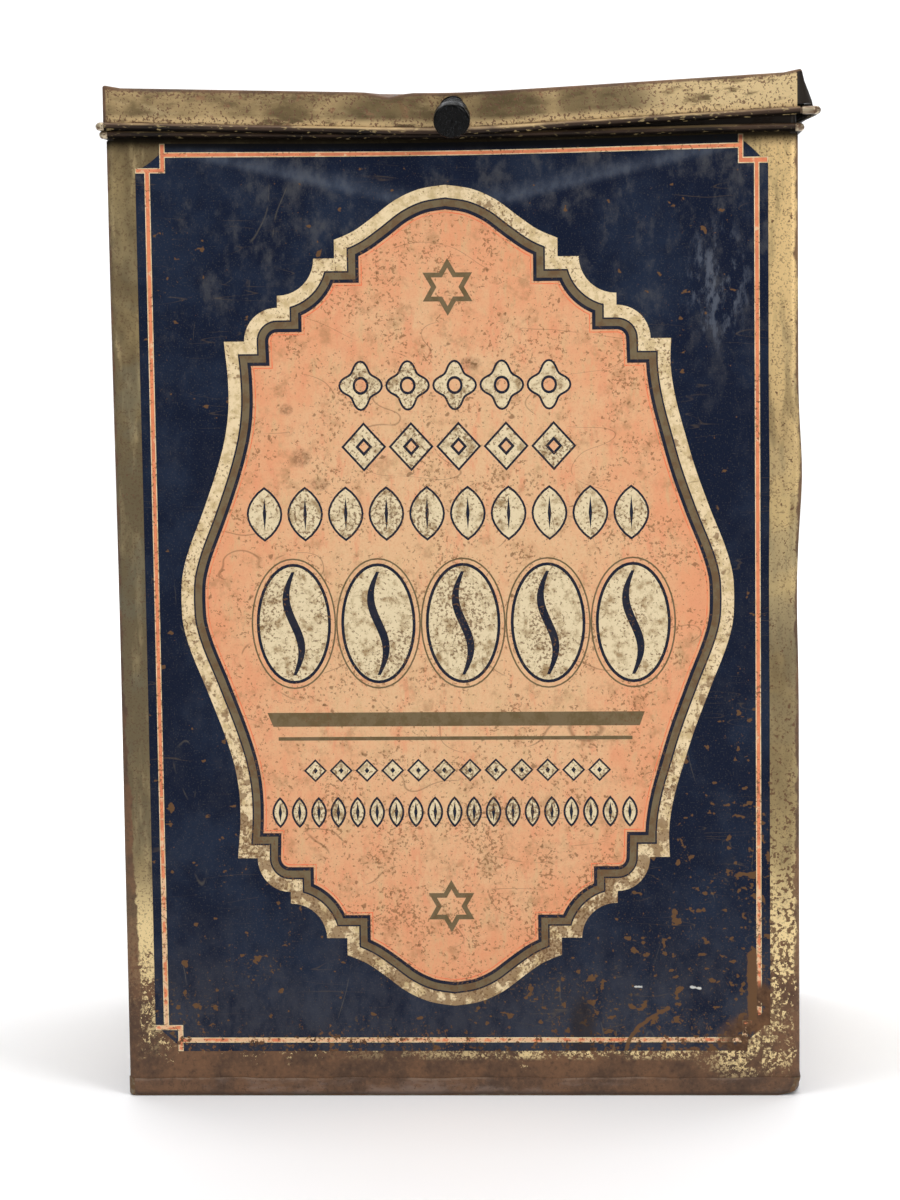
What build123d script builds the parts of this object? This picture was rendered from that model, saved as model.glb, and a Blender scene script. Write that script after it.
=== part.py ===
"""Tall grocer's coffee tin of soldered tinplate, with a hinged cap lid and a turned knob.

Millimetres, +Z up. The origin is the middle of the flat base, the front faces -Y and the hinge is
at the back. Every sheet is a separate folded piece: four body sheets stand in a bottom pan, their
top edges are curled over one wire loop, a neck in two strips stands up inside them, and the lid is
one folded sheet, curled under its own wire loop. That loop runs through two straps on the back
sheet, which makes it the hinge pin.
"""

from build123d import *
from math import asin, cos, degrees, radians, sin
import os

# ---- driving dimensions ----
body_width = 340.0  # over the front and back sheets
body_depth = 270.0
rim_height = 481.0  # base to the middle of the body's wired edge
sheet = 0.4  # tinplate thickness
gap = 0.05  # solder film between lapped sheets
wire_radius = 1.5
corner_radius = 4.0  # vertical corners of the body
lid_overhang = 2.0  # lid skirt beyond the body's faces
lid_skirt_height = 20.0  # middle of the lid's wired edge to the top of the lid
lid_step = 3.6  # body wire up to lid wire
neck_above = 16.0  # neck above and below the body's wired edge
neck_below = 14.0
strap_offset = 95.0  # hinge straps either side of the middle
strap_width = 24.0
knob_droop = 22.0  # degrees, the bent bolt lets the knob hang

# ---- sheets and wired edges ----
curl_inner = wire_radius + gap
curl_outer = curl_inner + sheet
curl_turn = 330.0  # degrees that the sheet wraps round its wire
wire_bend = 2.5  # bend of the wire at each corner, to its middle
curl_clear = 0.2  # each straight curl stops this far short of the bend
solder_radius = 2.0
lap = 14.0  # front and back sheets fold this far round each corner
notch_below_rim = 3.0  # folded corners stop this far below the wire

# ---- bottom pan ----
pan_height = 9.0
pan_fold = 1.5
foot = 1.6  # the body sheets' lower edge, clear of the pan's inner fold

side_face = body_width / 2 - sheet - gap  # outer face of a side sheet, inside the laps
front_face = body_depth / 2
side_edge = body_width / 2 - corner_radius  # where the flat of each sheet ends
front_edge = body_depth / 2 - corner_radius

# ---- neck ----
neck_half_width = side_face - sheet - gap
neck_half_depth = front_face - sheet - gap
neck_radius = 3.1
hem_height = 5.0
neck_joint = 0.1  # between the two strips, at the middle of each side
splice_length = 24.0
splice_height = 24.0

# ---- lid ----
lid_half_width = body_width / 2 + lid_overhang
lid_half_depth = body_depth / 2 + lid_overhang
lid_wire_height = rim_height + lid_step
lid_top = lid_wire_height + lid_skirt_height
lid_corner = 2.5
lid_fold = 1.2
tab_width = 8.0
tab_height = 15.0

# ---- hinge ----
hinge_y = lid_half_depth + curl_inner
strap_sheet = 0.5
loop_clear = 0.08
loop_wrap = 285.0
notch_width = strap_width + 2.0
notch_height = 4.5
strap_back = front_face + gap - hinge_y + strap_sheet / 2  # strap's mid-line on the back sheet
strap_joggle = (-3.4, -9.8)  # heights under the wire where the strap leaves and meets its lines
strap_end = -47.0
rivet_radius = 1.5
rivet_head = 3.0
rivet_dome = 1.2
rivet_heights = (-22.0, -38.0)  # under the hinge wire
rivet_hole_clear = 0.05

# ---- knob ----
knob_height = lid_wire_height + 13.5
bolt_radius = 1.75
bolt_hole = 2.2
bolt_bend = 4.0
bolt_head = (4.0, 0.7)  # radius and thickness
washer = (5.0, 0.4)
bolt_in_knob = 11.0
knob_stand_off = 0.6
# Outline from the foot to the face, each point a distance along the axis and a radius.
knob_foot = 5.75
knob_waist = (3.5, 5.3)
knob_shoulder = (6.6, 6.3)
knob_ring_1 = (8.0, 7.4)
knob_groove_1 = (10.4, 6.9)
knob_ring_2 = (12.4, 8.2)
knob_groove_2 = (14.2, 7.8)
knob_head = (16.0, 8.9)
knob_head_end = (20.0, 8.9)
knob_round = (21.35, 8.5)
knob_length = 22.0
knob_face_radius = 7.4
knob_face_dish = 0.6

outward = {"front": (0, -1, 0), "back": (0, 1, 0), "left": (-1, 0, 0), "right": (1, 0, 0)}


def edge_plane(side, distance, height):
    """Upright section plane through a wired edge: local x points out of the tin, local y is up."""
    out = Vector(outward[side])
    up = Vector(0, 0, 1)
    return Plane(out * distance + up * height, x_dir=out, z_dir=out.cross(up))


def curl(plane, turn, half_length):
    """Sheet wrapped round its wire from the wall side: turn is negative to go over the top."""
    with BuildSketch(plane) as section:
        with BuildLine():
            outer = CenterArc((0, 0), curl_outer, 180, turn)
            inner = CenterArc((0, 0), curl_inner, 180, turn)
            Line(outer @ 0, inner @ 0)
            Line(outer @ 1, inner @ 1)
        make_face()
    extrude(section.sketch, amount=half_length, both=True)


def wired_side(side, wire_distance, flat_half, curl_half):
    """Body sheet on one side: a flat wall from the foot up, curled outward over its wire."""
    plane = edge_plane(side, wire_distance, rim_height)
    with BuildSketch(plane) as wall:
        with Locations((-(curl_inner + curl_outer) / 2, -(rim_height - foot) / 2)):
            Rectangle(sheet, rim_height - foot)
    extrude(wall.sketch, amount=flat_half, both=True)
    curl(plane, -curl_turn, curl_half)


def wire_loop(half_width, half_depth, height):
    """Closed loop of round wire with tight corners."""
    with BuildSketch(Plane.XY.offset(height)) as loop:
        RectangleRounded(2 * half_width, 2 * half_depth, wire_bend)
    path = loop.sketch.face().outer_wire()
    with BuildSketch(Plane(path @ 0, z_dir=path % 0)) as wire:
        Circle(wire_radius)
    sweep(wire.sketch, path=path)


def corner_solder(half_width, half_depth, height):
    """Solder sleeve round the wire at each corner, where the sheets' curls stop."""
    quarter_start = {(1, 1): 0, (-1, 1): 90, (-1, -1): 180, (1, -1): 270}
    for (sx, sy), start in quarter_start.items():
        middle = (sx * (half_width - wire_bend), sy * (half_depth - wire_bend))
        with BuildLine(Plane.XY.offset(height)) as bend:
            CenterArc(middle, wire_bend, start, 90)
        with BuildSketch(Plane(bend.line @ 0, z_dir=bend.line % 0)) as sleeve:
            Circle(solder_radius)
            Circle(curl_inner, mode=Mode.SUBTRACT)
        sweep(sleeve.sketch, path=bend.line)


# ---- body sheets ----
side_wire = side_face + curl_inner
front_wire = front_face + curl_inner
side_curl_half = front_wire - wire_bend - curl_clear
front_curl_half = side_wire - wire_bend - curl_clear


def folded_laps(side):
    """The front or back sheet's corners and laps, which wrap the side sheets' edges."""
    way = outward[side][1]
    with BuildSketch(Plane.XY.offset(foot)) as laps:
        RectangleRounded(body_width, body_depth, corner_radius)
        RectangleRounded(
            body_width - 2 * sheet, body_depth - 2 * sheet, corner_radius - sheet, mode=Mode.SUBTRACT
        )
        with Locations((0, way * (front_face - lap / 2))):
            Rectangle(body_width, lap, mode=Mode.INTERSECT)
    extrude(laps.sketch, amount=rim_height - notch_below_rim - foot)


with BuildPart() as front_sheet:
    wired_side("front", front_wire, side_edge, front_curl_half)
    folded_laps("front")

with BuildPart() as back_sheet:
    wired_side("back", front_wire, side_edge, front_curl_half)
    folded_laps("back")
    for x in (-strap_offset, strap_offset):
        for drop in rivet_heights:
            rivet_spot = (x, front_face, lid_wire_height + drop)
            with Locations(Plane(rivet_spot, x_dir=(1, 0, 0), z_dir=(0, 1, 0))):
                Hole(rivet_radius + rivet_hole_clear, depth=4 * sheet)

with BuildPart() as left_sheet:
    wired_side("left", side_wire, front_edge, side_curl_half)

with BuildPart() as right_sheet:
    wired_side("right", side_wire, front_edge, side_curl_half)

# ---- bottom pan ----
pan_width = body_width + 2 * (gap + sheet)
pan_depth = body_depth + 2 * (gap + sheet)
with BuildPart() as bottom_pan:
    with BuildSketch():
        RectangleRounded(pan_width, pan_depth, corner_radius + gap + sheet)
    extrude(amount=pan_height)
    fillet(bottom_pan.faces().sort_by(Axis.Z)[0].edges(), pan_fold)
    offset(amount=-sheet, openings=bottom_pan.faces().sort_by(Axis.Z)[-1])


# ---- neck: two strips that meet at the middle of each side, joined by splice plates ----
def neck_strip(way):
    """Half of the neck, with the hemmed upper edge."""
    low, high = rim_height - neck_below, rim_height + neck_above
    for bottom, inset in ((low, sheet), (high - hem_height, 2 * sheet + gap)):
        with BuildSketch(Plane.XY.offset(bottom)) as ring:
            RectangleRounded(2 * neck_half_width, 2 * neck_half_depth, neck_radius)
            RectangleRounded(
                2 * (neck_half_width - inset),
                2 * (neck_half_depth - inset),
                neck_radius - inset,
                mode=Mode.SUBTRACT,
            )
            with Locations((0, way * (neck_half_depth / 2 + neck_joint / 2))):
                Rectangle(2 * neck_half_width, neck_half_depth, mode=Mode.INTERSECT)
        extrude(ring.sketch, amount=high - bottom)


with BuildPart() as neck_front:
    neck_strip(-1)

with BuildPart() as neck_back:
    neck_strip(1)

with BuildPart() as neck_splices:
    splice_x = neck_half_width - sheet - gap - sheet / 2
    with Locations(
        (-splice_x, 0, rim_height - neck_below + splice_height / 2),
        (splice_x, 0, rim_height - neck_below + splice_height / 2),
    ):
        Box(sheet, splice_length, splice_height)

# ---- body's wire and corner solder ----
with BuildPart() as body_rim_wire:
    wire_loop(side_wire, front_wire, rim_height)

with BuildPart() as body_rim_solder:
    corner_solder(side_wire, front_wire, rim_height)

# ---- lid: one sheet folded down on four sides, its edges curled under the wire ----
lid_side_wire = lid_half_width + curl_inner
lid_front_wire = lid_half_depth + curl_inner
knob_on_skirt = Plane((0, -lid_half_depth, knob_height), x_dir=(1, 0, 0), z_dir=(0, -1, 0))
with BuildPart() as lid_sheet:
    with BuildSketch(Plane.XY.offset(lid_wire_height)):
        RectangleRounded(2 * lid_half_width, 2 * lid_half_depth, lid_corner)
    extrude(amount=lid_skirt_height)
    fillet(lid_sheet.faces().sort_by(Axis.Z)[-1].edges(), lid_fold)
    offset(amount=-sheet, openings=lid_sheet.faces().sort_by(Axis.Z)[0])
    for side in outward:
        along_x = side in ("front", "back")
        distance = lid_front_wire if along_x else lid_side_wire
        curl_half = (lid_side_wire if along_x else lid_front_wire) - wire_bend - curl_clear
        curl(edge_plane(side, distance, lid_wire_height), curl_turn, curl_half)
    with Locations(
        (-strap_offset, hinge_y, lid_wire_height), (strap_offset, hinge_y, lid_wire_height)
    ):
        Box(notch_width, 4 * curl_outer, 2 * notch_height, mode=Mode.SUBTRACT)
    with Locations(knob_on_skirt):
        Hole(bolt_hole, depth=4 * sheet)

with BuildPart() as lid_corner_tabs:
    tab_half_width = lid_half_width - sheet - gap
    tab_half_depth = lid_half_depth - sheet - gap
    with BuildSketch(Plane.XY.offset(lid_top - lid_fold - sheet - tab_height)):
        RectangleRounded(2 * tab_half_width, 2 * tab_half_depth, lid_corner - sheet - gap)
        RectangleRounded(
            2 * (tab_half_width - sheet),
            2 * (tab_half_depth - sheet),
            lid_corner - 2 * sheet - gap,
            mode=Mode.SUBTRACT,
        )
        Rectangle(2 * (tab_half_width - tab_width), 2 * tab_half_depth, mode=Mode.SUBTRACT)
        Rectangle(2 * tab_half_width, 2 * (tab_half_depth - tab_width), mode=Mode.SUBTRACT)
    extrude(amount=tab_height)

with BuildPart() as lid_rim_wire:
    wire_loop(lid_side_wire, lid_front_wire, lid_wire_height)

with BuildPart() as lid_rim_solder:
    corner_solder(lid_side_wire, lid_front_wire, lid_wire_height)


# ---- hinge straps: looped round the lid's wire, joggled in to the back sheet ----
def hinge_strap(x):
    """Strap section drawn about the hinge wire, then given its width."""
    loop_middle = wire_radius + loop_clear + strap_sheet / 2
    leave, meet = strap_joggle
    plane = Plane((x, hinge_y, lid_wire_height), x_dir=(0, 1, 0), z_dir=(1, 0, 0))
    with BuildSketch(plane) as section:
        with BuildLine():
            CenterArc((0, 0), loop_middle, 0, loop_wrap)
            FilletPolyline(
                (loop_middle, 0),
                (loop_middle, leave),
                (strap_back, meet),
                (strap_back, strap_end),
                radius=2.0,
            )
        trace(line_width=strap_sheet)
    extrude(section.sketch, amount=strap_width / 2, both=True)
    for drop in rivet_heights:
        rivet_spot = (x, front_face + gap + strap_sheet, lid_wire_height + drop)
        with Locations(Plane(rivet_spot, x_dir=(1, 0, 0), z_dir=(0, 1, 0))):
            Hole(rivet_radius + rivet_hole_clear, depth=2 * strap_sheet)


with BuildPart() as hinge_strap_left:
    hinge_strap(-strap_offset)

with BuildPart() as hinge_strap_right:
    hinge_strap(strap_offset)

with BuildPart() as hinge_rivets:
    grip_inside = front_face - sheet - gap
    grip_outside = front_face + gap + strap_sheet + gap
    for x in (-strap_offset, strap_offset):
        for drop in rivet_heights:
            axis_plane = Plane((x, 0, lid_wire_height + drop), x_dir=(1, 0, 0), z_dir=(0, 0, 1))
            with BuildSketch(axis_plane):
                with BuildLine():
                    Polyline(
                        (0, grip_outside + rivet_dome),
                        (0, grip_inside - 2 * sheet),
                        (rivet_head, grip_inside - 2 * sheet),
                        (rivet_head, grip_inside),
                        (rivet_radius, grip_inside),
                        (rivet_radius, grip_outside),
                        (rivet_head, grip_outside),
                    )
                    dome_radius = (rivet_head**2 + rivet_dome**2) / (2 * rivet_dome)
                    dome_middle = (0, grip_outside + rivet_dome - dome_radius)
                    dome_angle = degrees(asin(rivet_head / dome_radius))
                    CenterArc(dome_middle, dome_radius, 90 - dome_angle, dome_angle)
                make_face()
            revolve(axis=Axis((x, 0, lid_wire_height + drop), (0, 1, 0)))

# ---- knob on its bent bolt ----
skirt_inside = -lid_half_depth + sheet
bolt_seat = skirt_inside + gap + washer[1] + gap
bend_start = -lid_half_depth - 1.0
bend_end_y = bend_start - bolt_bend * sin(radians(knob_droop))
bend_end_z = knob_height - bolt_bend * (1 - cos(radians(knob_droop)))
knob_axis = Vector(0, -cos(radians(knob_droop)), -sin(radians(knob_droop)))
bend_end = Vector(0, bend_end_y, bend_end_z)
knob_base = bend_end + knob_axis * knob_stand_off

with BuildPart() as knob_bolt:
    head_plane = Plane((0, bolt_seat, knob_height), x_dir=(1, 0, 0), z_dir=(0, 1, 0))
    with BuildSketch(head_plane):
        Circle(bolt_head[0])
    extrude(amount=bolt_head[1])
    with BuildLine() as shank:
        straight = Line((0, bolt_seat, knob_height), (0, bend_start, knob_height))
        bend = TangentArc(straight @ 1, bend_end, tangent=(0, -1, 0))
        Line(bend @ 1, bend_end + knob_axis * (knob_stand_off + bolt_in_knob))
    with BuildSketch(Plane((0, bolt_seat, knob_height), x_dir=(1, 0, 0), z_dir=(0, -1, 0))):
        Circle(bolt_radius)
    sweep(path=shank.line)

with BuildPart() as knob_washer:
    washer_plane = Plane((0, skirt_inside + gap, knob_height), x_dir=(1, 0, 0), z_dir=(0, 1, 0))
    with BuildSketch(washer_plane):
        Circle(washer[0])
        Circle(bolt_radius + gap, mode=Mode.SUBTRACT)
    extrude(amount=washer[1])

with BuildPart() as knob:
    profile_plane = Plane(knob_base, x_dir=(1, 0, 0), z_dir=Vector(1, 0, 0).cross(knob_axis))
    bore_radius = bolt_radius + gap
    bore_end = bolt_in_knob + 2 * gap
    with BuildSketch(profile_plane):
        with BuildLine():
            Polyline(
                (0, knob_length - knob_face_dish),
                (0, bore_end),
                (bore_radius, bore_end),
                (bore_radius, 0),
                (knob_foot, 0),
            )
            outline = (
                knob_waist,
                knob_shoulder,
                knob_ring_1,
                knob_groove_1,
                knob_ring_2,
                knob_groove_2,
                knob_head,
                knob_head_end,
                knob_round,
            )
            waist, shoulder, ring_1, groove_1, ring_2, groove_2, head, head_end, rounding = [
                (radius, along) for along, radius in outline
            ]
            ThreePointArc((knob_foot, 0), waist, shoulder)
            ThreePointArc(shoulder, ring_1, groove_1)
            ThreePointArc(groove_1, ring_2, groove_2)
            Line(groove_2, head)
            Line(head, head_end)
            ThreePointArc(head_end, rounding, (knob_face_radius, knob_length))
            dish_radius = (knob_face_radius**2 + knob_face_dish**2) / (2 * knob_face_dish)
            dish_angle = degrees(asin(knob_face_radius / dish_radius))
            dish_middle = (0, knob_length - knob_face_dish + dish_radius)
            CenterArc(dish_middle, dish_radius, 270, dish_angle)
        make_face()
    revolve(axis=Axis(knob_base, knob_axis))

# ---- labels and files ----
os.makedirs("parts", exist_ok=True)
front_sheet.part.label = "front_sheet"
export_step(front_sheet.part, "parts/front_sheet.step")
back_sheet.part.label = "back_sheet"
export_step(back_sheet.part, "parts/back_sheet.step")
left_sheet.part.label = "left_sheet"
export_step(left_sheet.part, "parts/left_sheet.step")
right_sheet.part.label = "right_sheet"
export_step(right_sheet.part, "parts/right_sheet.step")
bottom_pan.part.label = "bottom_pan"
export_step(bottom_pan.part, "parts/bottom_pan.step")
neck_front.part.label = "neck_front"
export_step(neck_front.part, "parts/neck_front.step")
neck_back.part.label = "neck_back"
export_step(neck_back.part, "parts/neck_back.step")
neck_splices.part.label = "neck_splices"
export_step(neck_splices.part, "parts/neck_splices.step")
body_rim_wire.part.label = "body_rim_wire"
export_step(body_rim_wire.part, "parts/body_rim_wire.step")
body_rim_solder.part.label = "body_rim_solder"
export_step(body_rim_solder.part, "parts/body_rim_solder.step")
hinge_strap_left.part.label = "hinge_strap_left"
export_step(hinge_strap_left.part, "parts/hinge_strap_left.step")
hinge_strap_right.part.label = "hinge_strap_right"
export_step(hinge_strap_right.part, "parts/hinge_strap_right.step")
hinge_rivets.part.label = "hinge_rivets"
export_step(hinge_rivets.part, "parts/hinge_rivets.step")
lid_sheet.part.label = "lid_sheet"
export_step(lid_sheet.part, "parts/lid_sheet.step")
lid_corner_tabs.part.label = "lid_corner_tabs"
export_step(lid_corner_tabs.part, "parts/lid_corner_tabs.step")
lid_rim_wire.part.label = "lid_rim_wire"
export_step(lid_rim_wire.part, "parts/lid_rim_wire.step")
lid_rim_solder.part.label = "lid_rim_solder"
export_step(lid_rim_solder.part, "parts/lid_rim_solder.step")
knob.part.label = "knob"
export_step(knob.part, "parts/knob.step")
knob_bolt.part.label = "knob_bolt"
export_step(knob_bolt.part, "parts/knob_bolt.step")
knob_washer.part.label = "knob_washer"
export_step(knob_washer.part, "parts/knob_washer.step")
print(f"lid top {lid_top:.1f}, hinge wire at y {hinge_y:.2f} z {lid_wire_height:.2f}")
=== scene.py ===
"""Looks of the coffee tin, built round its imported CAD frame.

Points in this script are millimetres in the frame's axes: +Z up, the front faces -Y, the origin is
the middle of the base. The sheet pieces are the frame's own shapes, cut into small faces, dented by
two smooth warps (one for the bin, one for the lid), and coloured by procedural materials. The
printed front is a set of thin ink films that lie on the front sheet and take the same dents.
"""

from functools import reduce
from math import acos, asin, cos, degrees, exp, hypot, pi, radians, sin, sqrt
from operator import or_

import bmesh
import bpy
from mathutils import Matrix, Vector
from mathutils.geometry import delaunay_2d_cdt


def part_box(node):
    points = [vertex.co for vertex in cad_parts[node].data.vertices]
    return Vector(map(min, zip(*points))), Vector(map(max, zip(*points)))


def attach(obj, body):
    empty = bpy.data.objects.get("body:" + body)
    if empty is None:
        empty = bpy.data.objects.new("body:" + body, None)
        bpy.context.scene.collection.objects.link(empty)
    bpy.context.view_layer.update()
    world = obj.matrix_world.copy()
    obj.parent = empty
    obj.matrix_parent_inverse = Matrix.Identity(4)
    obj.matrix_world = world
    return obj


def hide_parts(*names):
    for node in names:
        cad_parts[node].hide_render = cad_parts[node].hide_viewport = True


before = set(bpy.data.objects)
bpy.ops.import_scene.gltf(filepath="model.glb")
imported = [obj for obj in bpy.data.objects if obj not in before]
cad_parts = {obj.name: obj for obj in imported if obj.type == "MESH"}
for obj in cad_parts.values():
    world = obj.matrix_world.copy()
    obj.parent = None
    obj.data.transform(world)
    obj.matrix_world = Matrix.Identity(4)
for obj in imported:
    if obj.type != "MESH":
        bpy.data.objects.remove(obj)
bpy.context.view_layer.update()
MM = 0.001


# ---- sizes, from the frame ----
def box_mm(node):
    """Lowest and highest corner of a CAD node, in millimetres."""
    low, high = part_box(node)
    return low / MM, high / MM


def wire_loop(node):
    """Half width, half depth, height and radius of a loop of wire, to its middle."""
    low, high = box_mm(node)
    radius = (high.z - low.z) / 2
    return high.x - radius, high.y - radius, (high.z + low.z) / 2, radius


sheet = 0.4  # thickness of the tinplate
curl_gap = 0.05  # between a wire and the sheet that is curled over it
film = 0.1  # how far the ink films stand off the sheet
rim_x, rim_y, rim_z, wire_radius = wire_loop("body_rim_wire")
lid_x, lid_y, lid_z, _ = wire_loop("lid_rim_wire")
face_y = rim_y - wire_radius - curl_gap  # outer face of the front sheet
face_x = rim_x - wire_radius - curl_gap  # outer face of a side sheet
body_x = box_mm("front_sheet")[1].x  # outer face of the laps at the sides
foot_z = box_mm("front_sheet")[0].z
pan_z = box_mm("bottom_pan")[1].z
skirt_x = lid_x - wire_radius - curl_gap  # outer faces of the lid's skirt
skirt_y = lid_y - wire_radius - curl_gap
lid_top = box_mm("lid_sheet")[1].z


# ---- dents ----
def smooth(low, high, value):
    """Smooth step from 0 at one value to 1 at another."""
    share = min(max((value - low) / (high - low), 0.0), 1.0)
    return share * share * (3 - 2 * share)


def bell(value, middle, width):
    """1 in the middle, falling smoothly to 0 on both sides."""
    return exp(-(((value - middle) / width) ** 2))


def soft_ramp(value, width):
    """Zero below zero, the value itself above, with a rounded corner of that width."""
    return (value + sqrt(value * value + width * width)) / 2


# Shallow dents: x and height of the middle, size across and up, depth inwards.
front_dents = (
    (-60, 330, 60, 70, 0.7),
    (85, 300, 50, 60, -0.6),
    (30, 120, 80, 50, 0.6),
    (-95, 140, 40, 60, -0.5),
    (118, 408, 30, 34, 0.9),
    (-118, 455, 30, 12, 0.7),
    (95, 447, 46, 12, 0.8),
)
side_dents = ((20, 260, 60, 80, 1.3), (70, 120, 40, 40, -0.9), (-60, 90, 40, 50, 0.7))
back_dents = ((-50, 300, 70, 80, 1.2), (80, 180, 60, 60, -1.0), (20, 90, 50, 30, 0.8))
rim_sag = 2.0
left_rise = 1.4  # how much higher the used rim stands at the front left corner
base_taper = 1.2  # how far the sides lean in at the front foot
left_lean = 1.0  # how far the front left edge leans out at the top
facet_depth = 2.3
facet_foot = 437.0  # lowest point of the V-shaped facet under the rim
facet_shoulder = 470.0  # its height at its two ends
facet_half = 140.0
edge_bumps = ((312, 26, 1.8), (250, 30, -0.8))  # on the right edge: height, size up, depth
foot_bend = (-2.4, 1.2, 1.2)  # how far the lower right corner is bent along x, y and z


def bin_warp(point):
    """Where a point of the bin lies on the used, dented tin."""
    x, y, z = point
    front = 1 - smooth(-face_y + 2, -40, y)
    back = smooth(40, face_y - 2, y)
    middle = max(0.0, 1 - (x / body_x) ** 2)
    near = min(max((face_y - y) / (2 * face_y), 0.0), 1.0)
    panel_x = 1 - smooth(130, 164, abs(x))
    panel_z = smooth(foot_z, 40, z)
    below_neck = 1 - smooth(400, 440, z)
    # The front: its facet and dents, the sagging rim, and the lean towards the left.
    facet_edge = facet_foot + (facet_shoulder - facet_foot) * abs(x) / facet_half
    facet = soft_ramp(z - facet_edge, 7) / (rim_z - facet_foot)
    inwards = facet_depth * min(facet, 1.1) * middle
    for dent_x, dent_z, across, up, depth in front_dents:
        inwards += depth * bell(x, dent_x, across) * bell(z, dent_z, up) * panel_z
    dy = front * inwards * panel_x
    dz = -front * rim_sag * middle**2 * smooth(448, rim_z, z) ** 1.5
    dz += near * left_rise * (0.5 - x / (2 * body_x)) * z / rim_z
    dx = -near * base_taper * x / body_x * (1 - z / rim_z)
    dx -= near * left_lean * smooth(140, body_x, -x) * smooth(200, 470, z)
    # The back and the sides.
    for dent_x, dent_z, across, up, depth in back_dents:
        dent = depth * bell(x, dent_x, across) * bell(z, dent_z, up)
        dy -= back * dent * panel_x * panel_z * below_neck
    side = smooth(face_x - 10, face_x - 1, abs(x)) * below_neck * panel_z
    for dent_y, dent_z, across, up, depth in side_dents:
        along = dent_y if x > 0 else -dent_y
        dx -= (1 if x > 0 else -1) * side * depth * bell(y, along, across) * bell(z, dent_z, up)
    # The right edge, its foot, and the uneven hem of the pan.
    right_front = smooth(150, face_x, x) * bell(y, -face_y, 60)
    for bump_z, up, depth in edge_bumps:
        dx += depth * right_front * bell(z, bump_z, up)
    low_corner = smooth(158, body_x, x) * bell(y, -face_y, 12) * (1 - smooth(0, 9, z))
    dx += foot_bend[0] * low_corner
    dy += foot_bend[1] * low_corner
    dz += foot_bend[2] * low_corner
    hem = 1 - smooth(pan_z - 4, pan_z + 8, z)
    wobble = 0.35 * sin(x / 11.0) + 0.25 * sin(x / 4.7 + 1.0) + 0.3 * sin(y / 13.0)
    dz += hem * smooth(2.5, pan_z, z) * wobble
    return Vector((x + dx, y + dy, z + dz))


lid_tilt = (3.2, 1.4)  # rise of the front edge in the middle and, further, towards the right
lid_sag = 7.0  # depth of the V that the front edge is bent to
top_drop = 1.0  # how far the front fold of the lid is pressed down
nick_x, nick_half, nick_depth = -31, 6.5, 2.3  # nick in the front fold
corner_rise = 1.3  # how far the front corners of the fold stand up
crown_sink = 1.6  # how far the lid's top is sunk near its middle
flare = 5.5  # how far the split corner stands out at the lid's wire
knob_shift = 1.7  # the knob sits a little to the right of the middle
knob_drop = 1.2  # and its bent bolt hangs a little


def lid_warp(point):
    """Where a point of the lid lies on the used, dented tin."""
    x, y, z = point
    near = min(max((lid_y - y) / (2 * lid_y), 0.0), 1.0) ** 1.3
    front = 1 - smooth(-skirt_y, -30, y)
    rise, slope = lid_tilt
    edge = rise + slope * x / lid_x - lid_sag * (1 - min(sqrt(x * x + 225) / lid_x, 1.0))
    dz = near * edge
    crown = smooth(lid_z + 12, lid_top, z)
    dz -= crown * front * nick_depth * bell(x, nick_x, nick_half) * bell(y, -skirt_y, 10)
    dz -= crown * front * top_drop * (1 - smooth(skirt_y + 1, skirt_y + 3, -y))
    corner = smooth(skirt_x - 9, skirt_x, abs(x)) * bell(y, -skirt_y, 7)
    dz += corner_rise * crown * corner
    dz -= crown * crown_sink * bell(x, 30, 110) * bell(y, -10, 80)
    # Ripples and the fold mark in the front of the skirt.
    skirt_front = 1 - smooth(-skirt_y, -skirt_y + 12, y)
    up = (z - lid_z) / (lid_top - lid_z)
    ripple = 0.45 * sin(x / 17.0 + 0.6) + 0.3 * sin(x / 7.3) + 0.25 * sin(x / 41.0 + 2.0)
    dy = skirt_front * ripple * smooth(0, 0.5, up) * (1 - smooth(0.8, 1, up))
    dy += skirt_front * 1.3 * bell(x, -29, 11) * smooth(0.2, 0.9, up)
    # The split corner, and the knob.
    split = smooth(skirt_x - 1.1, skirt_x - 0.5, x) * (1 - smooth(-skirt_y, -50, y)) ** 1.5
    dx = split * flare * (1 - smooth(0.0, 1.0, up))
    on_knob = smooth(skirt_y + 1, skirt_y + 6, -y) * (1 - smooth(30, 60, abs(x)))
    dx += knob_shift * on_knob
    dz -= knob_drop * on_knob
    return Vector((x + dx, y + dy, z + dz))


# ---- mesh helpers ----
def add_object(name, data):
    """Object of that name in the scene."""
    made = bpy.data.objects.new(name, data)
    bpy.context.scene.collection.objects.link(made)
    return made


def cuts(low, high, step):
    """Evenly spaced places for cutting planes between two ends, ends left out."""
    count = max(int((high - low) / step), 1)
    return [low + (high - low) * i / count for i in range(1, count)]


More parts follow.
